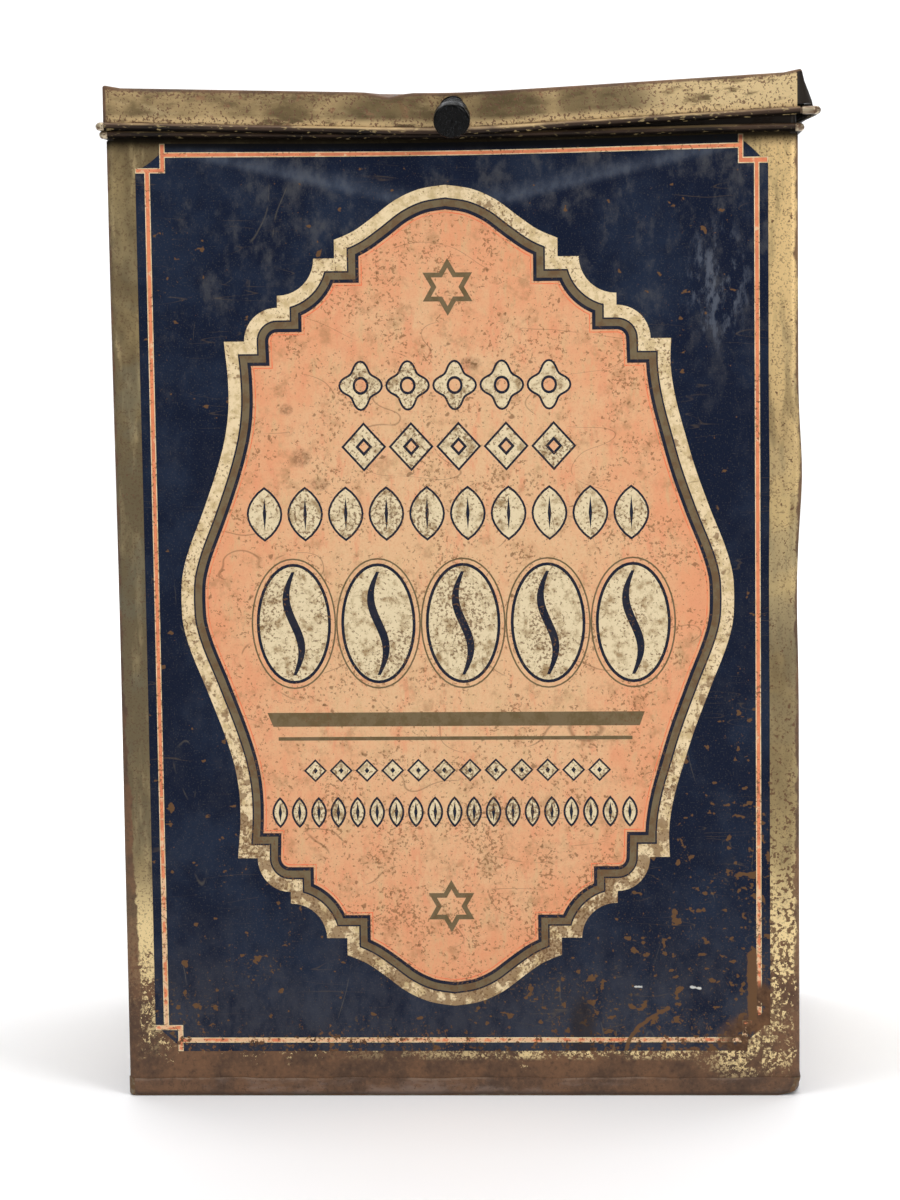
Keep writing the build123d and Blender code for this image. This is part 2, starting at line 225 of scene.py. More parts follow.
def dented(node, name, materials, body, steps=([], [], []), look=None, edit=None):
    """A CAD node's own shape, cut into small faces and dented, which stands for that node.

    steps gives the cutting planes along x, y and z. look says which material a face takes.
    """
    warp = bin_warp if body == "bin" else lid_warp
    cage = bmesh.new()
    cage.from_mesh(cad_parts[node].data)
    cage.transform(Matrix.Scale(1 / MM, 4))
    bmesh.ops.remove_doubles(cage, verts=cage.verts, dist=0.002)
    for axis, places in enumerate(steps):
        normal = Vector([1.0 if axis == i else 0.0 for i in range(3)])
        for place in places:
            everything = cage.verts[:] + cage.edges[:] + cage.faces[:]
            bmesh.ops.bisect_plane(
                cage, geom=everything, dist=0.0005, plane_co=normal * place, plane_no=normal
            )
    if edit:
        edit(cage)
    for face in cage.faces:
        face.material_index = look(face.calc_center_median(), face.normal) if look else 0
    rest = cage.verts.layers.float_vector.new("rest")
    for vert in cage.verts:
        vert[rest] = vert.co
        vert.co = warp(vert.co)
    mesh = bpy.data.meshes.new(name)
    cage.to_mesh(mesh)
    cage.free()
    mesh.transform(Matrix.Scale(MM, 4))
    piece = add_object(name, mesh)
    mesh.shade_smooth()
    mesh.set_sharp_from_angle(angle=radians(35))
    for material in materials:
        mesh.materials.append(material)
    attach(piece, body)
    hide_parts(node)


# ---- materials ----
def rgb(red, green, blue):
    """Linear colour from screen values of 0 to 255."""
    shares = [value / 255 for value in (red, green, blue)]
    linear = [s / 12.92 if s <= 0.04045 else ((s + 0.055) / 1.055) ** 2.4 for s in shares]
    return (*linear, 1.0)


class Value:
    """A number that a material works out at every point. Signs and methods add nodes.

    Masks are values from 0 to 1: a * b is where both hold, a | b where at least one does.
    """

    def __init__(self, paint, socket):
        self.paint = paint
        self.socket = socket

    def __add__(self, other):
        return self.paint.math("ADD", self, other)

    def __radd__(self, other):
        return self.paint.math("ADD", other, self)

    def __sub__(self, other):
        return self.paint.math("SUBTRACT", self, other)

    def __rsub__(self, other):
        return self.paint.math("SUBTRACT", other, self)

    def __mul__(self, other):
        return self.paint.math("MULTIPLY", self, other)

    def __truediv__(self, other):
        return self.paint.math("DIVIDE", self, other)

    def __or__(self, other):
        return self.paint.math("MAXIMUM", self, other)

    def __abs__(self):
        return self.paint.math("ABSOLUTE", self)

    def ramp(self, low, high, start=0.0, end=1.0):
        """Smooth step of the value from one level to another."""
        made = self.paint.node("ShaderNodeMapRange", interpolation_type="SMOOTHSTEP")
        for item, socket in zip((self, low, high, start, end), made.inputs):
            self.paint.put(item, socket)
        return Value(self.paint, made.outputs[0])

    def band(self, low, high, soft):
        """1 between two levels and 0 outside them."""
        return self.ramp(low - soft, low + soft) * self.ramp(high - soft, high + soft, 1.0, 0.0)

    def above(self, level, soft):
        """1 where the value passes a level, which may be a value itself."""
        return self.ramp(level, self.paint.math("ADD", level, soft))


class Paint:
    """One procedural material. Most methods add nodes and return the value they work out.

    The place is the point's position in millimetres before the dents, which dented() keeps as the
    attribute "rest"; with plain=True it is the object's own coordinate instead. Colours are three
    screen values of 0 to 255. tone is the colour so far, and over() lays the next one on it.
    """

    def __init__(self, name, plain=False):
        self.material = bpy.data.materials.new(name)
        self.material.use_nodes = True
        self.tree = self.material.node_tree
        self.tone = None
        if plain:
            scale = self.node("ShaderNodeVectorMath", operation="SCALE")
            self.put(self.node("ShaderNodeTexCoord").outputs["Object"], scale.inputs[0])
            self.put(1 / MM, scale.inputs["Scale"])
            self.place = scale.outputs[0]
        else:
            self.place = self.node("ShaderNodeAttribute", attribute_name="rest").outputs["Vector"]
        split = self.node("ShaderNodeSeparateXYZ")
        self.put(self.place, split.inputs[0])
        self.x, self.y, self.z = (Value(self, socket) for socket in split.outputs)

    def node(self, kind, **settings):
        """New node with those settings."""
        made = self.tree.nodes.new(kind)
        for key, value in settings.items():
            setattr(made, key, value)
        return made

    def put(self, value, socket):
        """Links a value or another socket, or sets a colour or a plain number."""
        if isinstance(value, Value):
            value = value.socket
        if isinstance(value, bpy.types.NodeSocket):
            self.tree.links.new(value, socket)
        else:
            socket.default_value = rgb(*value) if socket.type == "RGBA" else value

    def math(self, operation, *values):
        """Value of a Math node."""
        made = self.node("ShaderNodeMath", operation=operation)
        for value, socket in zip(values, made.inputs):
            self.put(value, socket)
        return Value(self, made.outputs[0])

    def noise(self, size, detail=3.0, roughness=0.5, stretch=(1, 1, 1), shift=0.0):
        """Noise whose features are about size millimetres, drawn out by stretch."""
        mapping = self.node("ShaderNodeMapping")
        self.put(self.place, mapping.inputs["Vector"])
        self.put((shift, shift * 0.7, -shift * 0.4), mapping.inputs["Location"])
        self.put([1 / (size * s) for s in stretch], mapping.inputs["Scale"])
        made = self.node("ShaderNodeTexNoise")
        self.put(mapping.outputs[0], made.inputs["Vector"])
        self.put(1.0, made.inputs["Scale"])
        self.put(detail, made.inputs["Detail"])
        self.put(roughness, made.inputs["Roughness"])
        return Value(self, made.outputs["Fac"])

    def spots(self, size, level, soft, *detail, **how):
        """Spots where a noise passes a level."""
        return self.noise(size, *detail, **how).above(level, soft)

    def lines(self, size, width, **how):
        """Thin winding lines along one level of a noise."""
        return abs(self.noise(size, 1.0, **how) - 0.5).ramp(0.0, width, 1.0, 0.0)

    def patch(self, x, z, across, up, soft):
        """1 round a place on the front, falling to 0 at an ellipse of that size."""
        dx = (self.x - x) / across
        dz = (self.z - z) / up
        return (dx * dx + dz * dz).ramp(1 - soft, 1 + soft, 1.0, 0.0)

    def patches(self, *places):
        """Several patches, each given by x, z, its size across and up, and its softness."""
        return reduce(or_, (self.patch(*place) for place in places))

    def stroke(self, points, radius):
        """1 within a radius of a line of points on the front, with a ragged edge."""
        ragged = (self.noise(2.5) - 0.5) * 2.2
        offs = []
        for (x1, z1), (x2, z2) in zip(points, points[1:]):
            wide, high = x2 - x1, z2 - z1
            dx = self.x - x1
            dz = self.z - z1
            share = self.node("ShaderNodeClamp")
            self.put((dx * wide + dz * high) / (wide**2 + high**2), share.inputs["Value"])
            along = Value(self, share.outputs[0])
            off_x = dx - along * wide
            off_z = dz - along * high
            offs.append(self.math("SQRT", off_x * off_x + off_z * off_z))
        nearest = reduce(lambda first, second: self.math("MINIMUM", first, second), offs)
        return (nearest + ragged).ramp(radius + 0.3, radius - 0.3)

    def mix(self, share, first, second):
        """Colour between two, by a mask."""
        made = self.node("ShaderNodeMix", data_type="RGBA")
        made.clamp_factor = True
        self.put(share, made.inputs["Factor"])
        colours = [s for s in made.inputs if s.type == "RGBA"]
        self.put(first, colours[0])
        self.put(second, colours[1])
        return [s for s in made.outputs if s.type == "RGBA"][0]

    def over(self, mask, colour, share=None):
        """Lays a colour over the tone so far, where the mask says and as thick as the share."""
        self.tone = self.mix(mask if share is None else mask * share, self.tone, colour)

    def finish(self, roughness, metallic=0.0, relief=None, depth=0.1, gloss=0.5):
        """Wires up the shader; relief is a height and depth its size in millimetres."""
        inputs = self.tree.nodes["Principled BSDF"].inputs
        self.put(self.tone, inputs["Base Color"])
        self.put(roughness, inputs["Roughness"])
        self.put(metallic, inputs["Metallic"])
        self.put(gloss, inputs["Specular IOR Level"])
        if relief is not None:
            bump = self.node("ShaderNodeBump")
            self.put(1.0, bump.inputs["Strength"])
            self.put(depth * MM, bump.inputs["Distance"])
            self.put(relief, bump.inputs["Height"])
            self.put(bump.outputs[0], inputs["Normal"])
        return self.material


RUST = (90, 64, 45)
RUST_DARK = (58, 41, 30)
RUST_LIGHT = (124, 90, 62)
GOLD = (180, 158, 110)
GOLD_LIGHT = (240, 214, 158)
GOLD_DARK = (112, 96, 66)
BROWN = (108, 78, 52)


def rust_tone(paint, shift=2):
    """Rust that clouds between dark, middle and light brown."""
    cloud = paint.noise(30, 5, 0.6, shift=shift).ramp(0.38, 0.62)
    tone = paint.mix(cloud, (80, 58, 43), (108, 77, 54))
    grain = paint.noise(2.4, 5, 0.65, shift=shift + 5)
    tone = paint.mix(grain.ramp(0.50, 0.72, 0.0, 0.6), tone, RUST_DARK)
    return paint.mix(grain.ramp(0.50, 0.30, 0.0, 0.45), tone, RUST_LIGHT)


def gold_tin(name):
    """Gold-lacquered tinplate: solid rust at the foot, eaten above it and specked higher up."""
    paint = Paint(name)
    cloud = paint.noise(60, 5, 0.6, stretch=(1, 1, 1.6), shift=3)
    # Darker between heights of 150 and 400: painted shade where the sheen fades down the sheet,
    # with grey mottling there.
    dull = paint.z.band(150, 400, 90)
    # Painted light: the sheet lighter towards the right and darker towards the left.
    painted_light_rightwards = paint.x.ramp(-120, 120, -0.42, 0.50)
    level = cloud.ramp(0.38, 0.62) + dull * -0.30
    paint.tone = paint.mix(level + painted_light_rightwards, GOLD_DARK, GOLD)
    streak = paint.noise(7, 5, 0.6, stretch=(1, 1, 5), shift=8)
    paint.over(streak.ramp(0.52, 0.74, 0.0, 0.35), GOLD_LIGHT)
    paint.over(streak.ramp(0.48, 0.30, 0.0, 0.5), (98, 82, 54))
    grey = dull * paint.noise(22, 5, shift=51).ramp(0.44, 0.6)
    paint.over(grey, (112, 110, 92), 0.45)
    # The margins beside the print: a painted highlight at the top right, painted shade lower down
    # on the right and low on the left.
    near_front = paint.y.ramp(45 - face_y, 8 - face_y)
    at_right = near_front * paint.x.ramp(120, 162)
    top_right_highlight = at_right * paint.z.ramp(210, 430, 0.1, 0.9)
    top_right_highlight = top_right_highlight * streak.ramp(0.34, 0.52, 0.4, 1.0)
    paint.over(top_right_highlight, (226, 192, 134))
    paint.over(at_right * paint.z.band(120, 230, 30), (116, 99, 66), 0.5)
    low_left_shade = near_front * paint.x.ramp(-120, -150) * paint.z.band(130, 330, 30)
    paint.over(low_left_shade, (90, 82, 62), 0.45)
    paint.over(paint.z.ramp(122, 84), GOLD_LIGHT, 0.8)
    paint.over(paint.spots(0.9, 0.57, 0.03, 2, shift=15), RUST, 0.5)
    freckles = paint.spots(2.0, paint.z.ramp(50, 250, 0.52, 0.68), 0.03, 1.5, shift=64)
    paint.over(freckles * at_right, (98, 68, 45), 0.9)
    # How far rust has got: full at the foot, along the outer edges, and in patches.
    ragged = paint.noise(14, 6, 0.65, shift=31) - 0.5
    height = paint.z + ragged * 60.0
    low = height.ramp(135, 22, 0.0, 0.30)
    patches = paint.noise(34, 4, shift=21).ramp(0.45, 0.66, 0.0, 0.06)
    level = 0.70 - (low + patches)
    fine_bite = paint.noise(1.5, 4, 0.6, shift=12)
    broad_bite = paint.noise(3.2, 4, 0.6, shift=37)
    broad = paint.x.ramp(40, 150, 0.0, 0.6)
    bite = fine_bite * (1.0 - broad) + broad_bite * broad
    eaten = bite.above(level, 0.035)
    wide = paint.z.ramp(250, 40, 1.2, paint.x.ramp(-10, 10, 7.0, 2.6))
    wide = wide + ragged * 9.0
    rim = abs(paint.x) - (body_x - 1.0)
    edge = (rim + wide).ramp(0.4, 1.6)
    edge = edge * paint.y.ramp(5 - face_y, 2 - face_y)
    worn = eaten | height.ramp(27, 21) | edge * 0.92
    # Lacquer that is left in the rust.
    saved = paint.z.band(19, 24, 1.5) * paint.x.ramp(-90, 60)
    saved = saved | paint.patches((146, 27, 26, 17, 0.8), (-158, 72, 9, 42, 0.8))
    torn = paint.noise(9, 5, 0.7, shift=45)
    saved = saved * fine_bite.ramp(0.47, 0.51) * torn.ramp(0.45, 0.54)
    saved = saved * edge.ramp(0.5, 0.1)
    worn = worn - saved * worn
    paint.over(worn, rust_tone(paint))
    # Painted shadow of the body's wired edge: near black just under it, with less gloss and metal
    # there.
    bead_shadow = paint.z.ramp(rim_z - 10, rim_z - 3, 0.0, 0.97)
    paint.over(bead_shadow, (12, 9, 6))
    metallic = (worn | bead_shadow).ramp(0, 1, 0.3, 0.0)
    relief = paint.noise(1.4, 5, 0.6, shift=40) - worn
    gloss = bead_shadow.ramp(0, 0.9, 0.35, 0.03)
    return paint.finish(worn.ramp(0, 1, 0.42, 0.75), metallic, relief, 0.05, gloss)


def lid_tin(name):
    """The lid's lacquer: gold-olive, with brown specks and darker zones either side of the knob."""
    paint = Paint(name)
    cloud = paint.noise(34, 6, 0.62, stretch=(1, 1, 0.6), shift=3)
    paint.tone = paint.mix(cloud.ramp(0.38, 0.60), (116, 98, 66), (178, 152, 108))
    brush = paint.noise(9, 5, 0.65, stretch=(1.5, 1, 0.5), shift=28)
    paint.over(brush.ramp(0.52, 0.70, 0.0, 0.5), (204, 180, 134))
    paint.over(brush.ramp(0.46, 0.32, 0.0, 0.5), (96, 80, 54))
    # Painted light: the lid lighter towards the right.
    bright = paint.x.ramp(40, 150, 0.0, 0.9) * brush.ramp(0.34, 0.48)
    paint.over(bright, (232, 204, 152))
    dark = paint.patches(
        (-34, lid_z + 10, 20, 12, 0.9), (28, lid_z + 11, 18, 12, 0.9),
        (62, lid_z + 11, 9, 10, 0.9), (82, lid_z + 11, 16, 9, 0.9),
    )
    paint.over(dark, (82, 70, 44), 0.65)
    fold = paint.stroke([(-22, lid_z + 6), (-25, lid_top - 5)], 1.2)
    paint.over(fold, (126, 86, 58), 0.3)
    # Painted highlight along the foot of the skirt, just above its wire.
    shine = paint.z.ramp(lid_z + 7.0, lid_z + 3.0, 0.0, 0.75)
    paint.over(shine * brush.ramp(0.36, 0.52), (234, 202, 148))
    near_top = paint.z.ramp(lid_top - 7, lid_top - 2, 0.0, -0.05)
    near_low = paint.z.ramp(lid_z + 8, lid_z + 3, 0.0, -0.045)
    level = 0.585 + (near_top + near_low)
    specks = paint.spots(1.2, level, 0.05, 2, shift=5)
    paint.over(specks, (98, 66, 44), 0.85)
    blotch = paint.spots(6, 0.60, 0.08, 5, 0.6, shift=17)
    paint.over(blotch, (126, 84, 56), 0.6)
    ragged = paint.noise(6, 5, 0.6, shift=9) * 3.0
    height = paint.z + (ragged - 1.5)
    top = height.ramp(lid_top - 2.4, lid_top - 1.0)
    low = height.ramp(lid_z + 2.7, lid_z + 1.6)
    ends = abs(paint.x).ramp(skirt_x - 2.4, skirt_x - 1.2)
    edge = top * 0.9 | low | ends
    paint.over(edge, rust_tone(paint, 14))
    worn = specks | blotch | edge
    relief = paint.noise(1.6, 5, 0.6, shift=40) - worn
    metallic = worn.ramp(0, 1, 0.3, 0.05)
    return paint.finish(worn.ramp(0, 1, 0.36, 0.7), metallic, relief, 0.05, 0.4)


def bead_tin(name, wire_z, worn):
    """Wired edge: brown, near black with painted shade below and a painted highlight along its top,
    with gold flecks.
    """
    paint = Paint(name)
    drawn = (3, 3, 1)
    cloud = paint.noise(9, 5, stretch=drawn, shift=6).ramp(0.35, 0.65)
    paint.tone = paint.mix(cloud, (28, 20, 15), (68, 50, 37))
    # Painted shade on the underside of the wire, with less gloss and metal there.
    under = paint.z.ramp(wire_z + 0.2, wire_z - 1.3, 0.0, 0.95)
    paint.over(under, (7, 5, 4))
    # Painted highlight along the top; worn sets how strong it is and how many gold flecks there
    # are.
    upper = paint.z.ramp(wire_z + 0.3, wire_z + 1.7)
    top_highlight_cloud = paint.noise(10, 5, stretch=drawn, shift=26).ramp(0.38, 0.62)
    paint.over(upper, paint.mix(top_highlight_cloud, (96, 72, 52), (186, 158, 112)), worn)
    paint.over(paint.spots(1.1, 0.62, 0.05, 2, stretch=drawn, shift=4), GOLD, 0.6 * worn)
    metallic = under.ramp(0.0, 0.8, 0.3, 0.0)
    gloss = under.ramp(0.0, 0.8, 0.35, 0.03)
    return paint.finish(0.46, metallic, paint.noise(1.2, 4, shift=2), 0.06, gloss)


def bare_tin(name, plain=False):
    """Inside of the tin: dull brown-grey tinplate, rusted in patches and towards the floor."""
    paint = Paint(name, plain)
    cloud = paint.noise(50, 5, 0.6, shift=7).ramp(0.35, 0.65)
    paint.tone = paint.mix(cloud, (84, 74, 58), (126, 114, 94))
    stain = paint.z.ramp(110, 20) | paint.spots(20, 0.54, 0.1, 5, shift=1)
    stain = stain * paint.noise(3, 5, 0.65, shift=19).ramp(0.38, 0.56)
    paint.over(stain, BROWN, 0.85)
    # Painted shade: near black from a height of 455 up to the rim, and less metallic there.
    rim = paint.z.ramp(455, 482, 0.0, 0.96)
    paint.over(rim, (26, 18, 13))
    metallic = rim.ramp(0, 0.8, 0.4, 0.0)
    relief = paint.noise(2, 4, shift=9)
    return paint.finish(stain.ramp(0, 1, 0.42, 0.75), metallic, relief, 0.04, 0.2)


def solder_grey(name):
    """Solder: clouded grey, with grime."""
    paint = Paint(name)
    cloud = paint.noise(3, 4, shift=1)
    paint.tone = paint.mix(cloud.ramp(0.4, 0.6), (112, 94, 74), (188, 172, 144))
    grime = paint.spots(2, 0.52, 0.03, 4, shift=3)
    paint.over(grime, RUST, 0.8)
    return paint.finish(grime.ramp(0, 1, 0.35, 0.65), 0.6, cloud, 0.3)


def iron(name, plain=False):
    """Wire, straps and rivets: brown iron with worn bright places."""
    paint = Paint(name, plain)
    paint.tone = paint.mix(paint.noise(6, 5, shift=1), (56, 44, 34), (108, 86, 64))
    paint.over(paint.spots(4, 0.6, 0.06, 4, shift=8), (160, 146, 120), 0.5)
    return paint.finish(0.5, 0.5, paint.noise(1.5, 4, shift=2), 0.08)


knob_droop = radians(22)  # how far the knob's axis points down to the front
# Where the knob's turned edges and grooves lie behind its face: start, end and softness.
knob_edges = ((1.0, 1.6, 0.4), (5.6, 6.2, 0.3), (9.2, 9.9, 0.4), (13.6, 14.3, 0.4))
knob_grooves = ((7.0, 8.2, 0.5), (11.0, 12.4, 0.5))


def black_wood(name):
    """Ebonised, polished wood: faint rings, scratches and grey scuffs, with painted highlights on
    its turned edges and painted shade in its grooves.
    """
    paint = Paint(name)
    grain = paint.noise(2.0, 4, stretch=(0.5, 4, 1), shift=2)
    paint.tone = paint.mix(grain.ramp(0.4, 0.7), (5, 5, 5), (14, 13, 13))
    paint.over(paint.lines(4, 0.010, shift=5), (74, 76, 78), 0.35)
    paint.over(paint.spots(3.2, 0.58, 0.1, 5, 0.65, shift=25), (56, 60, 66), 0.3)
    axis = Vector((0, -cos(knob_droop), -sin(knob_droop)))
    tip = max(v.co.dot(axis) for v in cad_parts["knob"].data.vertices) / MM
    # Painted highlights along the turned edges, broken up by a noise.
    back = tip - (paint.y * axis.y + paint.z * axis.z)
    rubbed = reduce(or_, (back.band(*edge) for edge in knob_edges))
    rubbed = rubbed * paint.noise(4, 4, shift=33).ramp(0.35, 0.6)
    paint.over(rubbed, (112, 111, 109), 0.5)
    # Painted shade: the grooves near black, with no gloss.
    groove = reduce(or_, (back.band(*place) for place in knob_grooves))
    paint.over(groove, (2, 2, 2))
    rough = paint.noise(3, 3, shift=11).ramp(0.35, 0.65, 0.14, 0.32)
    height = grain * 0.05 - groove
    height = height + rubbed * 0.6
    gloss = back.ramp(0.8, 1.6, 0.09, 0.035)
    gloss = gloss * groove.ramp(0.0, 0.6, 1.0, 0.0)
    return paint.finish(rough, 0.0, height, 0.2, gloss)


def pan_tin(name):
    """Bottom pan: rust like the foot above it, with a greyish bloom, darker in its lower fold."""
    paint = Paint(name)
    bloom = paint.noise(16, 6, 0.66, stretch=(2.5, 2.5, 1), shift=7)
    paint.tone = rust_tone(paint)
    paint.over(bloom.ramp(0.46, 0.64, 0.0, 0.62), (128, 108, 96))
    upper = paint.z.ramp(pan_z - 1.6, pan_z - 0.4, 0.0, 0.35)
    paint.over(upper * bloom.ramp(0.42, 0.52), (144, 122, 104))
    paint.over(paint.z.ramp(3.2, 0.6, 0.0, 0.75), (44, 32, 25))
    paint.over(paint.spots(1.5, 0.60, 0.03, 4, 0.65, shift=4), RUST_DARK, 0.5)
    return paint.finish(0.6, 0.1, paint.noise(1.6, 5, 0.65, shift=3), 0.12, 0.4)


def foot_rust(paint):
    """Rust that eats a print from the foot of the tin upwards."""
    level = 0.70 - paint.z.ramp(50, 22, 0.0, 0.16)
    eaten = paint.spots(3.0, level, 0.03, 6, 0.66, shift=12)
    right = paint.patches((155, 28, 24, 15, 0.5), (151, 45, 6, 12, 0.5))
    torn = paint.noise(8, 6, 0.66, shift=42).ramp(0.38, 0.44)
    eaten = eaten | right * torn
    paint.over(eaten, rust_tone(paint))
    return eaten


def rust_runs(paint):
    """The rust runs on the lower right of the print, which cross its inks."""
    bar = paint.stroke([(146.2, 71), (146.6, 40)], 2.5)
    streak = paint.stroke([(104, 44.5), (95, 39.5), (88.5, 34.5), (84.5, 29), (82.6, 23)], 1.0)
    runs = bar | streak
    paint.over(runs, (102, 74, 50), 0.92)
    return runs


def scratches(paint, size, width, stretch, shift, gaps, gap_shift, low, high):
    """Thin scratches, left only where a coarser noise is high."""
    scratch = paint.lines(size, width, stretch=stretch, shift=shift)
    return scratch * paint.noise(gaps, shift=gap_shift).ramp(low, high)


def ink(name, base, tint, level, low_level, fade=None, fade_top=190, cloudy=(0.42, 0.62)):
    """Printed ink: clouded colour, specks worn down to brown tin, fine scratches.

    level is the noise a worn speck needs, lower for more wear; low_level holds at the foot. fade
    is the colour that shows where the ink is rubbed thin, mostly towards the foot.
    """
    paint = Paint(name)
    cloud = paint.noise(6, 6, 0.68, shift=len(name))
    paint.tone = paint.mix(cloud.ramp(*cloudy), base, tint)
    if fade:
        limit = paint.z.ramp(20, fade_top, 0.42, 0.60)
        paint.over(paint.spots(7, limit, 0.07, 5, 0.65, shift=33), fade, 0.8)
    clump = paint.noise(24, 4, shift=13).ramp(0.40, 0.66, 0.04, -0.05)
    need = paint.z.ramp(60, 330, low_level, level) + clump
    paint.over(paint.spots(1.5, need, 0.08, 4, 0.6, shift=7), BROWN, 0.8)
    fine_marks = scratches(paint, 30, 0.004, (1, 1, 2.5), 17, 22, 23, 0.54, 0.6)
    paint.over(fine_marks, BROWN, 0.5)
    rust_runs(paint)
    foot_rust(paint)
    # Painted shadow of the body's wired edge across the top of the print.
    paint.over(paint.z.ramp(473.5, 477, 0.0, 0.8), (12, 9, 6))
    return paint.finish(0.5, 0.0, paint.noise(1.2, 4, 0.6, shift=5), 0.03, 0.1)


def navy_ink(name):
    """The dark field: grey haze of scuffs and painted sheen, ochre specks, and brown rust spots
    towards the lower right.
    """
    paint = Paint(name)
    cloud = paint.noise(40, 6, 0.66, shift=3)
    paint.tone = paint.mix(cloud.ramp(0.42, 0.66), (14, 23, 43), (28, 38, 57))
    haze_noise = paint.noise(11, 6, 0.7, stretch=(1, 1, 1.6), shift=61)
    # Grey haze towards the top, partly scuffs and partly painted sheen; a lighter haze towards the
    # foot.
    upper = paint.z.ramp(300, 450, 0.10, 0.55)
    paint.over(upper * haze_noise.ramp(0.48, 0.72), (82, 82, 84))
    lower = paint.z.ramp(110, 30, 0.0, 0.4)
    paint.over(lower * haze_noise.ramp(0.30, 0.6), (72, 73, 80))
    # The glint along the crease at the lower edge of the facet.
    slope = (facet_shoulder - facet_foot) / facet_half
    along = abs(paint.x) * slope
    off = paint.z - along - (facet_foot + 2)
    glint = off.ramp(-2, 3) * off.ramp(12, 2) * haze_noise.ramp(0.30, 0.6, 0.3, 1.0)
    paint.over(glint, (96, 104, 118), 0.36)
    paint.over(paint.spots(0.8, 0.60, 0.03, 2, shift=4), (82, 78, 72), 0.3)
    # Small flecks, then blobs of rust, both more at the lower right.
    clump = paint.noise(26, 5, shift=14).ramp(0.42, 0.64, 0.0, 0.07)
    right = paint.x.ramp(10, 140) * paint.z.ramp(180, 70)
    foot = paint.z.ramp(170, 40, 0.0, 0.06)
    more = clump + (foot + right * 0.05)
    flecks = paint.spots(1.6, 0.70 - more, 0.07, 4, 0.6, shift=9)
    paint.over(flecks, (98, 76, 50), 0.65)
    fewer = paint.z.ramp(120, 300, 0.70, 0.735) - clump
    level = fewer - right * 0.085
    blobs = paint.spots(4.4, level, 0.03, 2, stretch=(1.2, 1, 1), shift=27)
    paint.over(blobs, (102, 74, 48), 0.9)
    eaten = foot_rust(paint)
    runs = rust_runs(paint)
    paint.over(paint.patch(61, 32, 6, 17, 0.9), (46, 38, 34), 0.6)
    fine_marks = scratches(paint, 40, 0.003, (1, 1, 3), 17, 26, 29, 0.55, 0.62)
    paint.over(fine_marks, (140, 128, 104), 0.2)
    level_marks = scratches(paint, 16, 0.006, (5, 1, 0.5), 71, 18, 73, 0.5, 0.6)
    paint.over(level_marks, (110, 92, 66), 0.25)
    scuff = paint.spots(5, 0.50, 0.16, 6, 0.7, stretch=(1, 1, 2.6), shift=2)
    paint.over(scuff * paint.patch(130, 405, 15, 28, 0.9), (104, 110, 122), 0.5)
    white = paint.stroke([(87.2, 55.3), (90.4, 55.3)], 0.35)
    white = white | paint.stroke([(115.5, 54.9), (120.2, 54.6)], 0.5)
    paint.over(white, (214, 214, 208), 0.85)
    # Painted shadow of the body's wired edge across the top of the field.
    paint.over(paint.z.ramp(470, 476, 0.0, 0.97), (3, 3, 4))
    worn = blobs | eaten | flecks | runs
    relief = paint.noise(1.3, 4, 0.6, shift=5)
    return paint.finish(worn.ramp(0, 1, 0.42, 0.75), 0.0, relief, 0.03, 0.1)


def salmon_panel(name):
    """The middle of the cartouche: tan and salmon in clouds, redder at its rim, rust-specked."""
    paint = Paint(name)
    dx = (paint.x - cartouche_middle[0]) / 122.0
    dz = (paint.z - cartouche_middle[1]) / 190.0
    cloud = paint.noise(20, 6, 0.7, shift=5) * 2.0
    redness = (dx * dx + dz * dz + cloud).ramp(1.0, 2.2, 0.0, 0.9)
    paint.tone = paint.mix(redness, (219, 178, 136), (222, 151, 110))
    streaks = paint.noise(8, 6, 0.7, stretch=(0.7, 1, 2.4), shift=52)
    paint.over(streaks.ramp(0.50, 0.68, 0.0, 0.7), (220, 148, 110))
    paint.over(streaks.ramp(0.48, 0.32, 0.0, 0.6), (206, 172, 128))
    paint.over(paint.spots(0.8, 0.48, 0.16, 2, shift=2), (206, 138, 100), 0.25)
    paint.over(paint.spots(10, 0.50, 0.2, 6, 0.72, shift=41), (162, 122, 84), 0.55)
    clump = paint.noise(24, 5, shift=18).ramp(0.42, 0.62, 0.03, -0.05)
    foot = paint.z.ramp(190, 70, 0.0, -0.03)
    level = 0.585 + (clump + foot)
    wear = paint.noise(1.5, 4, 0.6, shift=8)
    paint.over(wear.above(level, 0.08), (122, 86, 54), 0.7)
    paint.over(paint.spots(5.0, 0.665, 0.06, 2, shift=77), (104, 76, 48), 0.65)
    sore = paint.patches(
        (-77, 321, 4.5, 4.0, 0.95), (-68, 308, 4.5, 3.0, 0.95), (8, 367, 5, 3.0, 0.95),
        (-84, 345, 3.0, 2.5, 0.95),
    )
    paint.over(sore * wear.ramp(0.40, 0.56, 0.4, 1.0), (96, 66, 40), 0.55)
    paint.over(scratches(paint, 34, 0.004, (2, 1, 1), 61, 30, 67, 0.48, 0.54), BROWN, 0.55)
    return paint.finish(0.5, 0.0, paint.noise(1.2, 4, 0.6, shift=5), 0.03, 0.1)


# ---- sheet pieces ----
side_gold = gold_tin("gold_lacquer_rusted")
lid_gold = lid_tin("gold_lacquer_lid")
bead = bead_tin("wired_edge_bin", rim_z, 0.4)
lid_bead = bead_tin("wired_edge_lid", lid_z, 0.85)
bare = bare_tin("bare_tinplate")
bare_plain = bare_tin("bare_tinplate_plain", plain=True)
solder = solder_grey("solder")
iron_look = iron("brown_iron")
iron_plain = iron("brown_iron_plain", plain=True)
wood = black_wood("black_wood")
pan_look = pan_tin("rusted_pan")

x_cuts = cuts(-165, 165, 7)
y_cuts = cuts(-130, 130, 9)
wall_cuts = cuts(foot_z, 430, 8) + cuts(430, rim_z - 2, 4)


